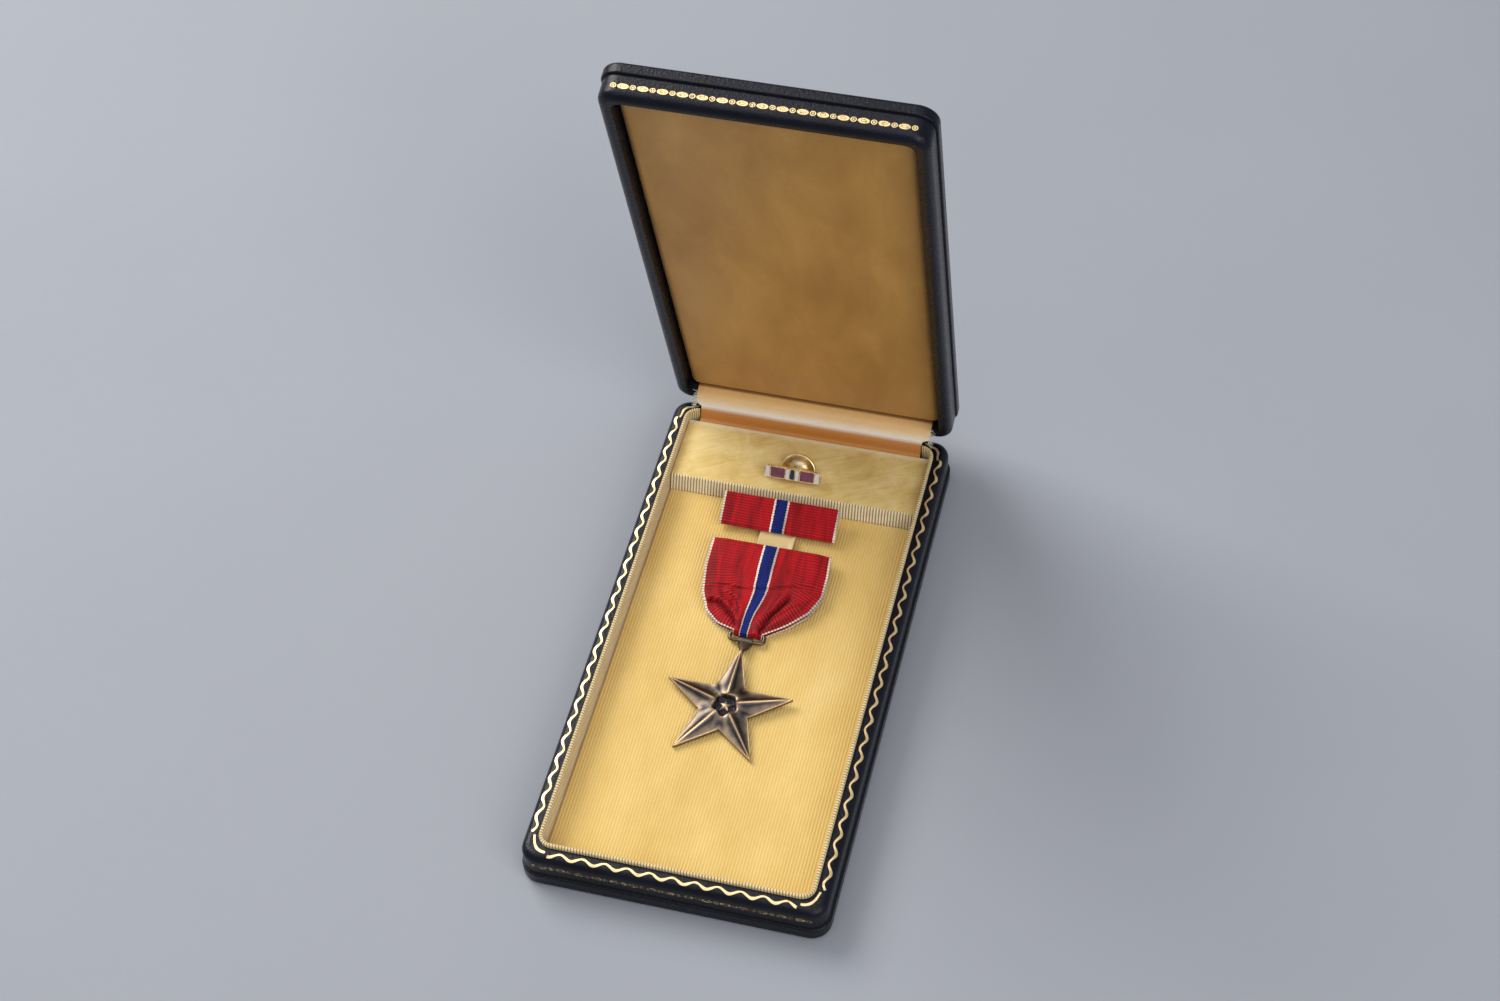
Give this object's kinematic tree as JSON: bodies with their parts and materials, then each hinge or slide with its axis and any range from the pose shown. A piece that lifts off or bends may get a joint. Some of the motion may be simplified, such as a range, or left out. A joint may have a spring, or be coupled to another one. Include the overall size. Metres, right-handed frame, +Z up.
{
  "type": "cased service medal",
  "caption": "Star medal on a pleated ribbon, with a ribbon bar and lapel pin, in a hinged leatherette presentation case lined with cloth and satin.",
  "frame": {"origin": "centre of the base's underside", "axes": "+X to the right, +Y from the front towards the hinge, +Z up from the surface the case stands on"},
  "size_m": [0.0864, 0.1751, 0.1755],
  "materials": {
    "wood": "raw",
    "leatherette": "fine grain, low sheen",
    "tray_cloth": "ribbed",
    "card": "matt card",
    "plush": "short pile",
    "satin": "satin",
    "hinge_brass": "dull",
    "steel": "plain wire",
    "ribbon": "ribbed moire with blue and white stripes",
    "fitting_brass": "aged",
    "bronze": "dark patina, bright edges",
    "gilt": "polished gilt",
    "enamel_white": "enamel",
    "enamel_red": "enamel",
    "enamel_blue": "enamel"
  },
  "bodies": {
    "base": {"base_board": "wood", "base_board_cover": "leatherette", "base_frame": "wood", "base_frame_cover": "leatherette", "tray_collar": "tray_cloth", "tray_floor_card": "card", "tray_floor_cloth": "tray_cloth", "riser_block": "card", "riser_cover": "plush", "riser_front_band": "tray_cloth", "tray_strap": "satin", "hinge_base_leaf": "hinge_brass", "hinge_pin": "steel", "hinge_spring": "steel", "hinge_nails_base": "steel", "hinge_gusset": "satin"},
    "lid": {"lid_board": "wood", "lid_board_cover": "leatherette", "lid_frame": "wood", "lid_frame_cover": "leatherette", "lid_pad_card": "card", "lid_pad": "satin", "hinge_lid_leaf": "hinge_brass", "hinge_nails_lid": "steel"},
    "medal_ribbon": {"ribbon_drape": "ribbon", "brooch_plate": "fitting_brass", "brooch_hinge_lug": "fitting_brass", "brooch_catch": "fitting_brass"},
    "brooch_pin_arm": {"brooch_pin": "steel"},
    "loop": {"ribbon_loop": "bronze"},
    "medal_star": {"star_sleeve": "bronze", "star": "bronze"},
    "ribbon_bar": {"bar_backing": "fitting_brass", "bar_ribbon": "ribbon", "bar_hinge_lug": "fitting_brass", "bar_catch": "fitting_brass"},
    "bar_pin_arm": {"bar_pin": "steel"},
    "lapel_pin": {"lapel_bar": "gilt", "lapel_enamel_white": "enamel_white", "lapel_enamel_red": "enamel_red", "lapel_enamel_blue": "enamel_blue", "lapel_post": "gilt", "lapel_disc": "gilt"}
  },
  "joints": [
    {"name": "lid_hinge", "type": "hinge", "parent": "base", "child": "lid", "pos_m": [0, 0.0822, 0.0127], "axis": [-1, 0, 0], "range_deg": [-76.75, 0]},
    {"name": "medal_lift", "type": "slide", "parent": "base", "child": "medal_ribbon", "axis": [0, 0, 1], "range_m": [0, 0.04]},
    {"name": "brooch_pin_swing", "type": "hinge", "parent": "medal_ribbon", "child": "brooch_pin_arm", "pos_m": [-0.01375, 0.0313, 0.0087], "axis": [0, 1, 0], "range_deg": [0, 2.5]},
    {"name": "loop_swing", "type": "hinge", "parent": "medal_ribbon", "child": "loop", "pos_m": [-0.00075, 0.00465, 0.00765], "axis": [-1, 0, 0], "range_deg": [0, 50]},
    {"name": "star_swing", "type": "hinge", "parent": "loop", "child": "medal_star", "pos_m": [-0.00075, 0.00185, 0.00765], "axis": [-1, 0, 0], "range_deg": [0, 75]},
    {"name": "ribbon_bar_lift", "type": "slide", "parent": "base", "child": "ribbon_bar", "axis": [0, 0, 1], "range_m": [0, 0.03]},
    {"name": "bar_pin_swing", "type": "hinge", "parent": "ribbon_bar", "child": "bar_pin_arm", "pos_m": [-0.0145, 0.04607, 0.00931], "axis": [0, 0.8878, 0.4602], "range_deg": [0, 3]},
    {"name": "lapel_pin_pull", "type": "slide", "parent": "base", "child": "lapel_pin", "axis": [0, 0.5736, 0.8192], "range_m": [0, 0.02]}
  ]
}
